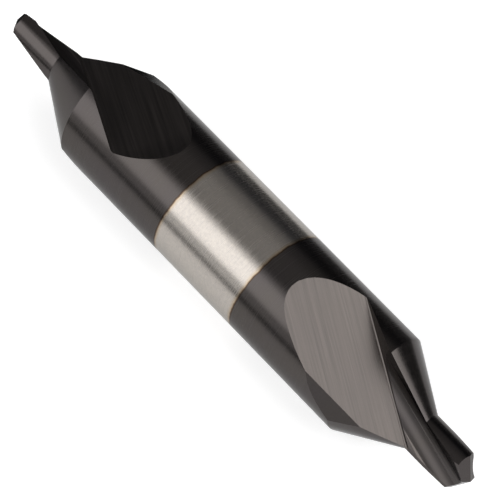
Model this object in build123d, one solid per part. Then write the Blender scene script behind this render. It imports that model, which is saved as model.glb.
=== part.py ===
from build123d import *
import os
from math import cos, radians, sin, tan

# A centre drill, also called a combined drill and countersink. Sizes are in millimetres.
# It is ground from one round bar. Both ends cut. Each end has a short pilot drill, a countersink
# cone behind it, and two flutes half a turn apart. The middle is plain and is held in the chuck.
# The axis lies along X, the origin is the middle of the bar, and Z is up.
# Each end is first made pointing up, with clock angles turned from its own zero about the axis.

# The bar
body_diameter = 10.0
corner_distance = 16.95  # from the middle to where the cone's cutting edge meets the body

# The countersink cone
cone_angle = 60.0
cone_edge_clock = 57.8
cone_relief = 0.34  # how far the centre of each land is shifted, so that it falls away behind its edge

# The pilot drill. Its lengths are measured along the cutting edge, from the cone to the point's outer
# corner. Each end has its own, because the rear one measures a little longer.
pilot_diameter = 4.0
front_pilot_length = 4.3
rear_pilot_length = 4.9
pilot_edge_clock = 75.0
pilot_relief = 0.185
relief_lead = 100.0  # the shifted centre lies this far ahead of the cutting edge
land_clock = 25.5  # the middle of one land; the other is made half a turn from it

# The point has four facets, one behind each lip and one on each heel
point_angle = 116.0
lip_facet_clock = 54.0
heel_facet_slope = 36.0
heel_facet_clock = 10.0

# The flute is a square groove on a slant. The line of its corner starts on the body's surface.
flute_start = 11.69  # along the axis from the middle
flute_start_clock = 29.3
flute_slant = 31.4  # between the corner line and the axis
flute_heading = 199.9  # the way that the corner line leans as it runs to the tip
flute_floor_clock = 76.2  # the way that the floor looks
flute_corner_radius = 0.18

# The pilot groove makes the cutting edges of the cone and the pilot, and its bottom is round
face_clock = 160.5  # the way that the cutting face looks
face_lean = 9.83  # how far the cutting face leans over the axis
face_behind = 0.19  # how far the cutting face lies behind the axis where the pilot starts
groove_radius = 1.5
groove_height = 1.67  # from the axis to the start of the round, where the pilot starts
groove_rise = 15.5  # how steeply the bottom climbs away from the axis, going back
groove_turn = 110.0  # how far the round bottom turns before it runs out straight
groove_start = 16.2  # along the axis, where the groove comes out of the flute's wall

# The flats on the heel of each land, one behind the cone and one on the pilot. Each distance is
# from the middle of the bar, square to the flat.
heel_flat_clock = 119.3
heel_flat_lean = 16.8
heel_flat_distance = 8.45
heel_flat_end = 20.5
pilot_heel_clock = 143.0
pilot_heel_lean = 8.5
pilot_heel_distance = 4.92

# How each end is turned about the axis, seen from its tip
front_clock = 18.7
rear_clock = 163.0

body_radius = body_diameter / 2
pilot_radius = pilot_diameter / 2
cone_slope = tan(radians(cone_angle / 2))
pilot_start = corner_distance + (body_radius - pilot_radius) / cone_slope
point_height = pilot_radius / tan(radians(point_angle / 2))
front_tip = pilot_start + front_pilot_length + point_height
rear_tip = pilot_start + rear_pilot_length + point_height
far = 2 * max(front_tip, rear_tip) + 4 * body_diameter  # the size of a cutter that reaches past an end
half_turn = Rot(0, 0, 180)


def turned(clock, radius, along=0.0):
    return Vector(radius * cos(radians(clock)), radius * sin(radians(clock)), along)


def looking(clock, lean):
    return turned(clock, cos(radians(lean)), sin(radians(lean)))


def relieved(outline, edge_clock, shift):
    """A turned blank about its own shifted centre, at full size beside its cutting edge."""
    lost = shift * cos(radians(relief_lead))
    points = [(max(radius - lost, 0), along) for radius, along in outline]
    blank = revolve(Plane.XZ * make_face(Polyline(*points, close=True)), Axis.Z)
    return Pos(turned(edge_clock + relief_lead, shift)) * blank


def above(plane):
    return plane * Box(far, far, far, align=(Align.CENTER, Align.CENTER, Align.MIN))


def lands(tip):
    """The end before its flutes: the cone and pilot of one land, and the same half a turn round."""
    foot_radius = body_radius + corner_distance * cone_slope
    nose_radius = pilot_radius / 2
    nose = corner_distance + (body_radius - nose_radius) / cone_slope
    cone_outline = [(0, 0), (foot_radius, 0), (nose_radius, nose), (0, nose)]
    pilot_outline = [(0, 0), (pilot_radius, 0), (pilot_radius, tip), (0, tip)]
    cone = relieved(cone_outline, cone_edge_clock, cone_relief)
    pilot = relieved(pilot_outline, pilot_edge_clock, pilot_relief)
    side = (cone + pilot) & above(Plane(origin=(0, 0, 0), z_dir=turned(land_clock, 1)))
    bar = Cylinder(body_radius, tip, align=(Align.CENTER, Align.CENTER, Align.MIN))
    return (side + half_turn * side) & bar


def point_facets(tip):
    lip = Plane(origin=(0, 0, tip), z_dir=looking(lip_facet_clock, point_angle / 2))
    heel = Plane(origin=(0, 0, tip), z_dir=looking(heel_facet_clock, 90 - heel_facet_slope))
    return [above(lip), above(heel)]


def flute_section():
    """Square to the flute's corner line, with X across the floor and Y out of it."""
    path = looking(flute_heading, 90 - flute_slant)
    floor = turned(flute_floor_clock, 1)
    floor = Vector(floor.X, floor.Y, -floor.dot(path) / path.Z).normalized()
    start = turned(flute_start_clock, body_radius, flute_start)
    return Plane(origin=start, x_dir=path.cross(floor), z_dir=path * -1)


def flute():
    square = Rectangle(far, far, align=(Align.MIN, Align.MIN))
    corner = square.vertices().sort_by(Axis.X)[:2].sort_by(Axis.Y)[0]
    return extrude(flute_section() * fillet(corner, flute_corner_radius), far, both=True)


def pilot_groove():
    """A groove with one flat side and a round bottom, which stops at the flute's wall and floor."""
    face = looking(face_clock, -face_lean)
    outward = turned(face_clock - 90, 1)
    along = outward.cross(face)
    path = along * cos(radians(groove_rise)) - outward * sin(radians(groove_rise))
    section = Plane(origin=turned(face_clock, -face_behind, pilot_start), x_dir=face, z_dir=path * -1)
    centre = Vector(groove_radius, groove_height)
    wall_foot = Vector(0, groove_height)
    round_middle = centre + turned(180 + groove_turn / 2, groove_radius)
    round_end = centre + turned(180 + groove_turn, groove_radius)
    outer = round_end + turned(groove_turn - 90, body_diameter)
    wall_top = Vector(0, outer.Y + body_diameter)
    outline = Line(wall_top, wall_foot) + ThreePointArc(wall_foot, round_middle, round_end)
    outline += Polyline(round_end, outer, (outer.X, wall_top.Y), wall_top)
    groove = extrude(section * make_face(outline), far, both=True)
    floor = flute_section()
    forward = above(Plane(origin=(0, 0, groove_start)))
    return groove & forward & above(Plane(origin=floor.origin, z_dir=floor.y_dir))


def beyond(clock, lean, distance):
    outward = looking(clock, lean)
    return above(Plane(origin=outward * distance, z_dir=outward))


def heel_flats():
    """The cone's flat is cut short, because the flute's floor has already taken the metal past its end."""
    cone_flat = beyond(heel_flat_clock, heel_flat_lean, heel_flat_distance)
    cone_stretch = Cylinder(body_diameter, heel_flat_end, align=(Align.CENTER, Align.CENTER, Align.MIN))
    pilot_flat = beyond(pilot_heel_clock, pilot_heel_lean, pilot_heel_distance)
    pilot_stretch = above(Plane(origin=(0, 0, pilot_start)))
    return [cone_flat & cone_stretch, pilot_flat & pilot_stretch]


def cutting_end(tip):
    """One end, pointing up, with each cut made twice, the second time half a turn from the first."""
    end = lands(tip)
    for cutter in [flute(), pilot_groove(), *heel_flats(), *point_facets(tip)]:
        end -= cutter
        end -= half_turn * cutter
    return end


def placed(end, clock, direction):
    zero = Vector(0, cos(radians(clock)), sin(radians(clock)))
    return Plane(origin=(0, 0, 0), x_dir=zero, z_dir=(direction, 0, 0)) * end


front = placed(cutting_end(front_tip), front_clock, 1)
rear = placed(cutting_end(rear_tip), rear_clock, -1)
centre_drill = front + rear
os.makedirs("parts", exist_ok=True)
export_step(centre_drill, "parts/centre_drill.step")
print("solids", len(centre_drill.solids()), "faces", len(centre_drill.faces()))
print("length", front_tip + rear_tip, "box", centre_drill.bounding_box())
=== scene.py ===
import math

import bmesh
import bpy
from mathutils import Euler, Matrix, Vector


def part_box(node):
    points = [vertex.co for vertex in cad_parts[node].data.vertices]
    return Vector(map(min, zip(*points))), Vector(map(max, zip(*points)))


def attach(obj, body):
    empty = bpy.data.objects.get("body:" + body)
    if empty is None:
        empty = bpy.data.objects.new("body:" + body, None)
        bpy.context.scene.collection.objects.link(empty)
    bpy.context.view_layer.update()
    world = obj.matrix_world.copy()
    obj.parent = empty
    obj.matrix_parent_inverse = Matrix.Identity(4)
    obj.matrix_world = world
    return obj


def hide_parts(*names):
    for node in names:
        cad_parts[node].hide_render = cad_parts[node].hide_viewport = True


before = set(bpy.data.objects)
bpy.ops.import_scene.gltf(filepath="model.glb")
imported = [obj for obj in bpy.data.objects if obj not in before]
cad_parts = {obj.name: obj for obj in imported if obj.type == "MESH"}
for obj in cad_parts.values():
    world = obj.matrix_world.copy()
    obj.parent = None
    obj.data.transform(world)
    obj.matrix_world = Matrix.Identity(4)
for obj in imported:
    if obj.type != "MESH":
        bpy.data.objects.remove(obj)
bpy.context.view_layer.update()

# A double-ended centre drill, ground from one bar of high-speed steel. Both ends have a dark hard
# coating. A band in the middle is bare ground steel. Sizes are in millimetres.

MM = 0.001
NODE = "centre_drill"
BODY_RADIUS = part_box(NODE)[1].z / MM

# The camera, as the photograph was taken
CAMERA_PLACE = (93.896, -80.759, 238.737)
CAMERA_TURN = (27.330, 0.066, 48.957)
CAMERA_LENS = 238.84
CAMERA_SENSOR = 36.0

# How each end is turned about the axis, seen from its tip
FRONT_CLOCK = math.radians(18.7)
REAR_CLOCK = math.radians(163.0)

# Each end is ground twice, the second time half a turn round
HALVES = (Vector((1, 1, 1)), Vector((-1, -1, 1)))

# The ways that the ground faces look, in an end's own axes: clock zero, a quarter turn on from it, and
# out to the tip
FLUTE_FLOOR = Vector((0.225, 0.920, 0.321))
FLUTE_WALL = Vector((0.842, -0.349, 0.411))
CUTTING_FACE = Vector((-0.929, 0.329, -0.171))
CONE_SLOPE = 0.5  # how far the cone's surface looks towards the tip

# The ways that the grinding wheel ran along the flute and along the pilot's groove
FLUTE_LINE = Vector((-0.490, -0.177, 0.853))
GROOVE_LINE = Vector((-0.244, -0.197, 0.949))

# Each flat face, with the way it looks and the way it was ground, and each round with its way
FLAT_FACES = (
    ("floor", FLUTE_FLOOR, FLUTE_LINE),
    ("wall", FLUTE_WALL, FLUTE_LINE),
    ("cutting_face", CUTTING_FACE, GROOVE_LINE),
)
ROUNDS = (("corner", FLUTE_LINE), ("groove", GROOVE_LINE))

# The solid's flute floors stay flat to their rear ends. A grinding wheel leaves them curving out there, so
# that metal is added here, behind where the line of the flute's corner starts on the body.
FLUTE_START = Vector((4.360, 2.447, 11.69))
WHEEL_RADIUS = 21.0
RUN_OUT_LENGTH = 12.0
RUN_OUT_WIDTH = 12.0
RUN_OUT_STEPS = 24
SUNK = 0.02  # how far the added metal goes into the solid's own
LOWERED = 0.002  # so that it comes out of the flat floor at a slant
INSIDE = 0.006  # how far it stays within the round of the bar, about half way into the solid's own facets
BAR_LENGTH = 8 * BODY_RADIUS
BAR_SEGMENTS = 256

# Corners of triangles that lie this close are one corner, and triangles thinner than this are taken out
JOIN_WITHIN = 0.0001
SLIVER = 0.0005

# How a triangle is told to belong to a surface
ON_THE_BAR = 0.014  # how far in its corners may lie where it is part of the bar's surface
SAME_WAY = 0.9995  # the least cosine between the ways that it and its flat face look
CURVED_FLOOR = 0.96  # the same, for the curved run-out of a flute's floor
SQUARE_ON = 0.03  # the greatest cosine between the way it looks and a line that it counts as square to
FACING_OUT = 0.8  # the least cosine between the way it looks and straight out, on a cone or a pilot
CONE_SLOPE_WITHIN = 0.05

# Two triangles of one surface have a crisp edge between them past this angle
CRISP_ANGLE = math.radians(20)

# Which finish a surface has, where it isn't that of the lands
FINISH_OF = {"body": "body", "floor": "flute", "corner": "flute", "groove": "groove"}

# Half the width of the bare band, how far its blurred edge reaches to each side, how far that edge wobbles
# and over what length
BAND_HALF_WIDTH = 4.7
BAND_BLUR = 1.0
BAND_WOBBLE = 0.12
WOBBLE_LENGTH = 0.8
STEEL_MOTTLING = 0.25  # coarser than the real grain, so that it shows

# Across that blur, from 0 to 1: the straw and brown tempering colours of the steel, and the coating's start
TEMPERING = [
    (0.30, "#ffffff"), (0.43, "#f4e8d6"), (0.475, "#a08a74"), (0.50, "#5c4c41"), (0.54, "#5c4c41"),
]
COATING_STARTS = 0.49
COATING_WHOLE = 0.55

# A ground surface gleams less at a glancing angle than a polished one, and its roughness varies from
# scratch to scratch by this much either way
EDGE_GLOSS = 0.68
ROUGHNESS_SWING = 0.04

# The white paper. It glows by this much where it is seen, and the rest of its white is the light on it.
PAPER_SIDE = 4000
PAPER_GREY = 0.7
PAPER_GLOW = 0.50

# Dark card: its name and grey, its reach along the tool, and the line of its section, to the side of the
# tool and up from the paper. The standing one carries the dark line on above the horizon. The rear one
# darkens the heel flat and the point of the rear end.
DARK_CARDS = [
    ("near_black_card", 0.03, (-400, 400), [(-600, 0.2), (-115, 0.2)]),
    ("standing_black_card", 0.03, (-400, 400), [(-600, 0.2), (-600, 82)]),
    ("far_grey_card", 0.08, (-400, 400), [(23, 0.2), (600, 0.2)]),
    ("rear_black_card", 0.03, (-70, -21), [(0, 0.3), (30, 0.3)]),
]

# Soft light: its name, the way to it from the tool, its sides, its brightness, where 1 is white, and how
# far it is moved along the tool
PANEL_DISTANCE = 600
LIGHT_PANELS = [
    ("key_panel", (-0.347, -0.666, 0.661), (1200, 401), 1.55, 300),
    ("key_spill", (-0.347, -0.636, 0.689), (1200, 534), 0.95, 300),
    ("front_panel", (0.55, 0.38, 0.74), (600, 640), 2.7, 0),
    ("land_panel", (0.50, 0.76, 0.42), (260, 200), 2.5, 0),
]

# The colours of the dim room, by height. The height is read on a slant, so that the room is pale along the
# ground on the key's side and darkest low on the other.
ROOM_SLANT = (-0.15, 0.30, 1.0)
ROOM_COLOURS = [
    (0.03, "#e7e7e7"), (0.12, "#444446"), (0.30, "#333336"), (0.66, "#26282c"), (0.76, "#5c5c5e"),
    (0.84, "#757474"), (0.92, "#757473"), (1.00, "#8f8e8d"),
]
ROOM_STRENGTH = 1.35

# The sockets for colours of a Mix node, which has others of the same names
MIX_FIRST = 6
MIX_SECOND = 7
MIX_RESULT = 2

# The middle half of a noise, which is stretched to the range that is wanted
MIDDLE_HALF = {"From Min": 0.25, "From Max": 0.75}


def linear(code):
    """An sRGB hex colour as the linear numbers that a shader takes."""
    channels = [int(code[i:i + 2], 16) / 255 for i in (1, 3, 5)]
    return [c / 12.92 if c <= 0.04045 else ((c + 0.055) / 1.055) ** 2.4 for c in channels] + [1.0]


def add_node(tree, kind, settings=None, links=None, stops=None):
    """A node in the tree, with its settings by name, its inputs by socket and its colours by place."""
    node = tree.nodes.new(kind)
    for name, value in (settings or {}).items():
        setattr(node, name, value)
    for socket, value in (links or {}).items():
        target = node.inputs[socket]
        if isinstance(value, bpy.types.NodeSocket):
            tree.links.new(value, target)
        else:
            target.default_value = value
    if stops:
        points = node.color_ramp.elements
        while len(points) < len(stops):
            points.new(0.5)
        for point, (place, code) in zip(points, stops):
            point.position = place
            point.color = linear(code)
    return node


def new_material(name):
    material = bpy.data.materials.new(name)
    material.use_nodes = True
    material.node_tree.nodes.clear()
    return material


def grinding_lines(tree, pitch, length):
    """Fine scratches side by side, from 0 to 1, read along and across the grinding direction in mm."""
    place = add_node(tree, "ShaderNodeUVMap", {"uv_map": "grinding"})
    scale = add_node(tree, "ShaderNodeMapping", links={
        "Vector": place.outputs["UV"],
        "Scale": (1 / length, 1 / pitch, 1.0),
    })
    noise = add_node(tree, "ShaderNodeTexNoise", {"noise_dimensions": "2D"}, {
        "Vector": scale.outputs["Vector"],
        "Scale": 1.0,
        "Detail": 4.0,
        "Roughness": 0.6,
    })
    return noise.outputs["Fac"]


def cloudy(tree, size, low=0.0, high=1.0):
    """A slow drift between two values, with patches of about that size in mm."""
    place = add_node(tree, "ShaderNodeTexCoord")
    noise = add_node(tree, "ShaderNodeTexNoise", links={
        "Vector": place.outputs["Object"],
        "Scale": 1 / (size * MM),
        "Detail": 2.0,
    })
    drift = add_node(tree, "ShaderNodeMapRange", links={
        "Value": noise.outputs["Fac"], **MIDDLE_HALF, "To Min": low, "To Max": high,
    })
    return drift.outputs["Result"]


def metal(name, tree_colour, pitch, length, roughness, depth):
    """A bare or coated metal with grinding lines. tree_colour makes the colour from the tree and them."""
    material = new_material(name)
    tree = material.node_tree
    lines = grinding_lines(tree, pitch, length)
    bump = add_node(tree, "ShaderNodeBump", links={"Height": lines, "Distance": depth * MM})
    dullness = add_node(tree, "ShaderNodeMapRange", links={
        "Value": lines,
        **MIDDLE_HALF,
        "To Min": roughness - ROUGHNESS_SWING,
        "To Max": roughness + ROUGHNESS_SWING,
    })
    surface = add_node(tree, "ShaderNodeBsdfPrincipled", links={
        "Base Color": tree_colour(tree, lines),
        "Metallic": 1.0,
        "Roughness": dullness.outputs["Result"],
        "Specular Tint": [EDGE_GLOSS] * 3 + [1.0],
        "Normal": bump.outputs["Normal"],
    })
    add_node(tree, "ShaderNodeOutputMaterial", links={"Surface": surface.outputs["BSDF"]})
    return material


def patches_and_scratches(tree, lines, size, patches, scratch, most):
    """Two colours in patches of that size, and a third along each scratch, mixed in by so much at most."""
    under = add_node(tree, "ShaderNodeMix", {"data_type": "RGBA"}, {
        "Factor": cloudy(tree, size), MIX_FIRST: linear(patches[0]), MIX_SECOND: linear(patches[1]),
    })
    cover = add_node(tree, "ShaderNodeMapRange", links={
        "Value": lines, **MIDDLE_HALF, "To Min": 0.0, "To Max": most,
    })
    both = add_node(tree, "ShaderNodeMix", {"data_type": "RGBA"}, {
        "Factor": cover.outputs["Result"], MIX_FIRST: under.outputs[MIX_RESULT], MIX_SECOND: linear(scratch),
    })
    return both.outputs[MIX_RESULT]


def coating(tree, lines):
    """A dark nitride of a warm grey, a little browner in patches and paler along each scratch."""
    return patches_and_scratches(tree, lines, size=4.0, patches=("#444040", "#45413e"),
                                 scratch="#545150", most=0.25)


def thin_coating(tree, lines):
    """The same coating on the flutes. It looks paler there, because the deeper lines scatter light."""
    return patches_and_scratches(tree, lines, size=3.0, patches=("#504c4a", "#524e4b"),
                                 scratch="#66605d", most=0.8)


def coating_and_bare_band(tree, lines):
    """The coating, and the bare steel of the band, with straw and brown where the one meets the other."""
    place = add_node(tree, "ShaderNodeTexCoord")
    axes = add_node(tree, "ShaderNodeSeparateXYZ", links={"Vector": place.outputs["Object"]})
    distance = add_node(tree, "ShaderNodeMath", {"operation": "ABSOLUTE"}, {0: axes.outputs["X"]})
    edge = add_node(tree, "ShaderNodeMath", {"operation": "ADD"}, {
        0: distance.outputs[0],
        1: cloudy(tree, WOBBLE_LENGTH, -BAND_WOBBLE / 2 * MM, BAND_WOBBLE / 2 * MM),
    })
    across = add_node(tree, "ShaderNodeMapRange", links={
        "Value": edge.outputs[0],
        "From Min": (BAND_HALF_WIDTH - BAND_BLUR) * MM,
        "From Max": (BAND_HALF_WIDTH + BAND_BLUR) * MM,
    })
    steel = add_node(tree, "ShaderNodeMix", {"data_type": "RGBA"}, {
        "Factor": cloudy(tree, STEEL_MOTTLING), MIX_FIRST: linear("#9a9590"), MIX_SECOND: linear("#a49e97"),
    })
    heat = add_node(tree, "ShaderNodeValToRGB", links={"Fac": across.outputs["Result"]}, stops=TEMPERING)
    bare = add_node(tree, "ShaderNodeMix", {"data_type": "RGBA", "blend_type": "MULTIPLY"}, {
        "Factor": 1.0, MIX_FIRST: steel.outputs[MIX_RESULT], MIX_SECOND: heat.outputs["Color"],
    })
    coated = add_node(tree, "ShaderNodeMapRange", {"interpolation_type": "SMOOTHSTEP"}, {
        "Value": across.outputs["Result"], "From Min": COATING_STARTS, "From Max": COATING_WHOLE,
    })
    both = add_node(tree, "ShaderNodeMix", {"data_type": "RGBA"}, {
        "Factor": coated.outputs["Result"],
        MIX_FIRST: bare.outputs[MIX_RESULT],
        MIX_SECOND: coating(tree, lines),
    })
    return both.outputs[MIX_RESULT]


def make_finishes():
    """The finish of each kind of surface, every one a metal with the lines that the grinding wheel left.

    Real lines lie some hundredths of a millimetre apart. These are drawn coarser, so that they show.
    """
    return {
        "body": metal("coated_and_bare_ground_bar", coating_and_bare_band,
                      pitch=0.10, length=6.0, roughness=0.25, depth=0.0002),
        "flute": metal("coated_ground_flute", thin_coating,
                       pitch=0.22, length=14.0, roughness=0.34, depth=0.004),
        "land": metal("coated_ground_land", coating,
                      pitch=0.10, length=3.0, roughness=0.22, depth=0.0006),
        "groove": metal("coated_ground_pilot_groove", coating,
                        pitch=0.10, length=3.0, roughness=0.38, depth=0.0006),
    }


def end_axes(x):
    """The axes of the end on that side of the middle: clock zero, a quarter turn on, and out to the tip."""
    clock, direction = (FRONT_CLOCK, 1) if x > 0 else (REAR_CLOCK, -1)
    zero = Vector((0, math.cos(clock), math.sin(clock)))
    outward = Vector((direction, 0, 0))
    return zero, outward.cross(zero), outward


def along_axes(parts, axes):
    """A place or a way that is given by its part along each axis."""
    return sum((axis * part for axis, part in zip(axes, parts)), Vector())


def read_face(face):
    """Which surface a triangle is part of, and the way it was ground. No way means round the tool."""
    centre = face.calc_center_median() / MM
    radius = math.hypot(centre.y, centre.z)
    nearest = min(math.hypot(vertex.co.y, vertex.co.z) for vertex in face.verts) / MM
    if min(nearest, radius) > BODY_RADIUS - ON_THE_BAR:
        return "body", None
    axes = end_axes(centre.x)
    looks = Vector([face.normal.dot(axis) for axis in axes])
    across_flute = FLUTE_LINE.cross(FLUTE_FLOOR).normalized()
    for half in HALVES:
        looks_here = looks * half
        for name, way, line in FLAT_FACES:
            if looks_here.dot(way.normalized()) > SAME_WAY:
                return name, along_axes(line * half, axes)
        curving_out = looks_here.dot(FLUTE_FLOOR.normalized()) > CURVED_FLOOR
        if curving_out and abs(looks_here.dot(across_flute)) < SQUARE_ON:
            return "floor", along_axes(FLUTE_LINE * half, axes)
    facing_out = face.normal.dot(Vector((0, centre.y, centre.z)).normalized()) > FACING_OUT
    if facing_out and abs(looks.z - CONE_SLOPE) < CONE_SLOPE_WITHIN:
        return "cone", None
    if facing_out and abs(looks.z) < SQUARE_ON:
        return "pilot", None
    rounds = [(abs(looks.dot(line * half)), name, along_axes(line * half, axes))
              for half in HALVES for name, line in ROUNDS]
    off_square, name, line = min(rounds, key=lambda entry: entry[0])
    if off_square < SQUARE_ON:
        return name, line
    return "facet", face.normal.cross(axes[2]).normalized()


def grinding_place(point, face, line):
    """Where a point lies along and across the grinding lines of its face, in mm."""
    if line:
        return point.dot(line) / MM, point.dot(face.normal.cross(line).normalized()) / MM
    centre = face.calc_center_median()
    middle = math.atan2(centre.z, centre.y)
    angle = math.remainder(math.atan2(point.z, point.y) - middle, 2 * math.pi) + middle
    return angle * math.hypot(point.y, point.z) / MM, point.x / MM


def add_object(name, data):
    """An object in the scene that shows that mesh, light or camera."""
    result = bpy.data.objects.new(name, data)
    bpy.context.scene.collection.objects.link(result)
    return result


def new_object(name, shape):
    """An object in the scene with that shape, which is used up."""
    mesh = bpy.data.meshes.new(name)
    shape.to_mesh(mesh)
    shape.free()
    return add_object(name, mesh)


def combine(first, second, operation):
    """Joins the second object's shape to the first, or keeps only what both have."""
    change = first.modifiers.new("combine", "BOOLEAN")
    change.operation = operation
    change.solver = "EXACT"
    change.object = second
    first.data = bpy.data.meshes.new_from_object(first.evaluated_get(bpy.context.evaluated_depsgraph_get()))
    first.modifiers.remove(change)


def run_out(x, half):
    """The metal under the curve that the wheel leaves, for one flute of the end on that side."""
    path = FLUTE_LINE.normalized()
    floor = FLUTE_FLOOR.normalized()
    across = path.cross(floor)
    back = [RUN_OUT_LENGTH * step / RUN_OUT_STEPS for step in range(RUN_OUT_STEPS, -1, -1)]
    curve = [(u, WHEEL_RADIUS - math.sqrt(WHEEL_RADIUS ** 2 - u ** 2) - LOWERED) for u in back]
    section = [(0.0, -SUNK), (RUN_OUT_LENGTH, -SUNK)] + curve
    axes = end_axes(x)
    shape = bmesh.new()
    ends = []
    for width in (-SUNK, RUN_OUT_WIDTH):
        ring = []
        for u, height in section:
            place = (FLUTE_START + across * width - path * u + floor * height) * half
            ring.append(shape.verts.new(along_axes(place, axes) * MM))
        ends.append(ring)
    first, last = ends
    shape.faces.new(first)
    shape.faces.new(last[::-1])
    for k in range(len(section)):
        n = (k + 1) % len(section)
        shape.faces.new((first[k], last[k], last[n], first[n]))
    bmesh.ops.recalc_face_normals(shape, faces=shape.faces)
    return new_object("run_out", shape)


def add_run_outs(drill):
    """Adds the curved run-out of all four flutes, each kept within the round of the bar."""
    shape = bmesh.new()
    radius = (BODY_RADIUS - INSIDE) * MM
    bmesh.ops.create_cone(shape, cap_ends=True, segments=BAR_SEGMENTS, radius1=radius, radius2=radius,
                          depth=BAR_LENGTH * MM, matrix=Matrix.Rotation(math.pi / 2, 4, "Y"))
    bar = new_object("bar", shape)
    for x in (1, -1):
        for half in HALVES:
            added = run_out(x, half)
            combine(added, bar, "INTERSECT")
            combine(drill, added, "UNION")
            bpy.data.objects.remove(added)
    bpy.data.objects.remove(bar)


def merged_copy():
    """A copy of the solid's mesh with its loose triangles joined."""
    shape = bmesh.new()
    shape.from_mesh(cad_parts[NODE].data)
    bmesh.ops.remove_doubles(shape, verts=shape.verts, dist=JOIN_WITHIN * MM)
    for layer in list(shape.loops.layers.uv):
        shape.loops.layers.uv.remove(layer)
    return new_object("ground_centre_drill", shape)


def round_normals(mesh, names):
    """Makes the bar's surface shade as a true round, whatever its facets."""
    normals = [corner.vector.copy() for corner in mesh.corner_normals]
    for polygon, name in zip(mesh.polygons, names):
        if name == "body":
            for loop in polygon.loop_indices:
                point = mesh.vertices[mesh.loops[loop].vertex_index].co
                normals[loop] = Vector((0, point.y, point.z)).normalized()
    mesh.normals_split_custom_set(normals)


def make_drill():
    """The tool: a copy of the solid with its run-outs, crisp edges and a finish on each surface."""
    finishes = make_finishes()
    drill = merged_copy()
    add_run_outs(drill)
    drill.data.materials.clear()
    for material in finishes.values():
        drill.data.materials.append(material)
    shape = bmesh.new()
    shape.from_mesh(drill.data)
    bmesh.ops.remove_doubles(shape, verts=shape.verts, dist=JOIN_WITHIN * MM)
    bmesh.ops.dissolve_degenerate(shape, edges=shape.edges, dist=SLIVER * MM)
    bmesh.ops.triangulate(shape, faces=shape.faces)
    shape.normal_update()
    places = shape.loops.layers.uv.new("grinding")
    slots = list(finishes)
    surfaces = {}
    for face in shape.faces:
        name, line = read_face(face)
        surfaces[face] = name
        face.material_index = slots.index(FINISH_OF.get(name, "land"))
        face.smooth = True
        for corner in face.loops:
            corner[places].uv = grinding_place(corner.vert.co, face, line)
    for edge in shape.edges:
        a, b = edge.link_faces
        edge.smooth = surfaces[a] == surfaces[b] and a.normal.angle(b.normal) < CRISP_ANGLE
    names = [surfaces[face] for face in shape.faces]
    shape.to_mesh(drill.data)
    shape.free()
    round_normals(drill.data, names)
    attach(drill, "root")
    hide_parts(NODE)


def pale_floor():
    """Matt white paper. It is lifted to white where it is seen straight on, in the metal or through glass."""
    material = new_material("white_paper")
    tree = material.node_tree
    paper = add_node(tree, "ShaderNodeBsdfDiffuse", links={"Color": [PAPER_GREY] * 3 + [1.0]})
    path = add_node(tree, "ShaderNodeLightPath")
    seen = add_node(tree, "ShaderNodeMath", {"operation": "ADD", "use_clamp": True}, {
        0: path.outputs["Is Camera Ray"], 1: path.outputs["Is Glossy Ray"],
    })
    seen = add_node(tree, "ShaderNodeMath", {"operation": "ADD", "use_clamp": True}, {
        0: seen.outputs[0], 1: path.outputs["Is Transmission Ray"],
    })
    lift = add_node(tree, "ShaderNodeMath", {"operation": "MULTIPLY"}, {0: seen.outputs[0], 1: PAPER_GLOW})
    glow = add_node(tree, "ShaderNodeEmission", links={"Strength": lift.outputs[0]})
    both = add_node(tree, "ShaderNodeAddShader", links={
        0: paper.outputs["BSDF"], 1: glow.outputs["Emission"],
    })
    add_node(tree, "ShaderNodeOutputMaterial", links={"Surface": both.outputs["Shader"]})
    return material


def make_floor():
    bpy.ops.mesh.primitive_plane_add(size=PAPER_SIDE * MM, location=(0, 0, -BODY_RADIUS * MM))
    floor = bpy.context.object
    floor.name = "floor"
    floor.data.materials.append(pale_floor())


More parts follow.
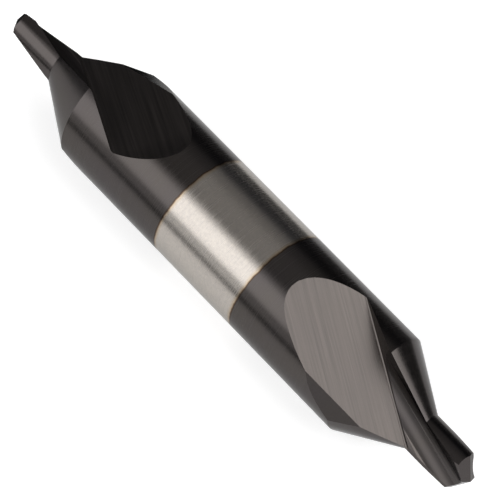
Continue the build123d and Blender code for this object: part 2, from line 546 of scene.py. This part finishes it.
def make_dark_cards():
    """Card on both sides of the tool. It is seen only in the metal, as the dark lines low on its sides."""
    for name, grey, (start, stop), section in DARK_CARDS:
        material = new_material(name)
        tree = material.node_tree
        surface = add_node(tree, "ShaderNodeBsdfDiffuse", links={"Color": [grey] * 3 + [1.0]})
        add_node(tree, "ShaderNodeOutputMaterial", links={"Surface": surface.outputs["BSDF"]})
        corners = [Vector((x, side, up - BODY_RADIUS)) * MM
                   for x, points in ((start, section), (stop, section[::-1])) for side, up in points]
        mesh = bpy.data.meshes.new(name)
        mesh.from_pydata(corners, [], [(0, 1, 2, 3)])
        mesh.materials.append(material)
        card = add_object(name, mesh)
        card.visible_camera = False
        card.visible_diffuse = False
        card.visible_shadow = False


def make_camera():
    data = bpy.data.cameras.new("camera")
    data.lens = CAMERA_LENS
    data.sensor_width = CAMERA_SENSOR
    camera = add_object("camera", data)
    camera.location = Vector(CAMERA_PLACE) * MM
    camera.rotation_euler = Euler([math.radians(a) for a in CAMERA_TURN])
    bpy.context.scene.camera = camera


def make_lights():
    """Flat soft lights, each with its first side along the tool."""
    for name, towards, size, brightness, along in LIGHT_PANELS:
        away = Vector(towards).normalized()
        across = away.cross(Vector((1, 0, 0))).normalized()
        turn = Matrix((across.cross(away), across, away)).transposed().to_4x4()
        data = bpy.data.lights.new(name, "AREA")
        data.shape = "RECTANGLE"
        data.size, data.size_y = [side * MM for side in size]
        data.energy = brightness * math.pi * data.size * data.size_y
        middle = away * PANEL_DISTANCE + across.cross(away) * along
        add_object(name, data).matrix_world = Matrix.Translation(middle * MM) @ turn


def make_world():
    """The dim room around the tool. The metal shows it, and a level view shows it past the paper's end."""
    world = bpy.data.worlds.new("world")
    world.use_nodes = True
    tree = world.node_tree
    way = add_node(tree, "ShaderNodeTexCoord")
    height = add_node(tree, "ShaderNodeVectorMath", {"operation": "DOT_PRODUCT"}, {
        0: way.outputs["Generated"], 1: ROOM_SLANT,
    })
    colour = add_node(tree, "ShaderNodeValToRGB", links={"Fac": height.outputs["Value"]}, stops=ROOM_COLOURS)
    background = tree.nodes["Background"]
    tree.links.new(colour.outputs["Color"], background.inputs["Color"])
    background.inputs["Strength"].default_value = ROOM_STRENGTH
    bpy.context.scene.world = world


make_drill()
make_floor()
make_dark_cards()
make_camera()
make_world()
make_lights()
bpy.context.scene.view_settings.view_transform = "Standard"
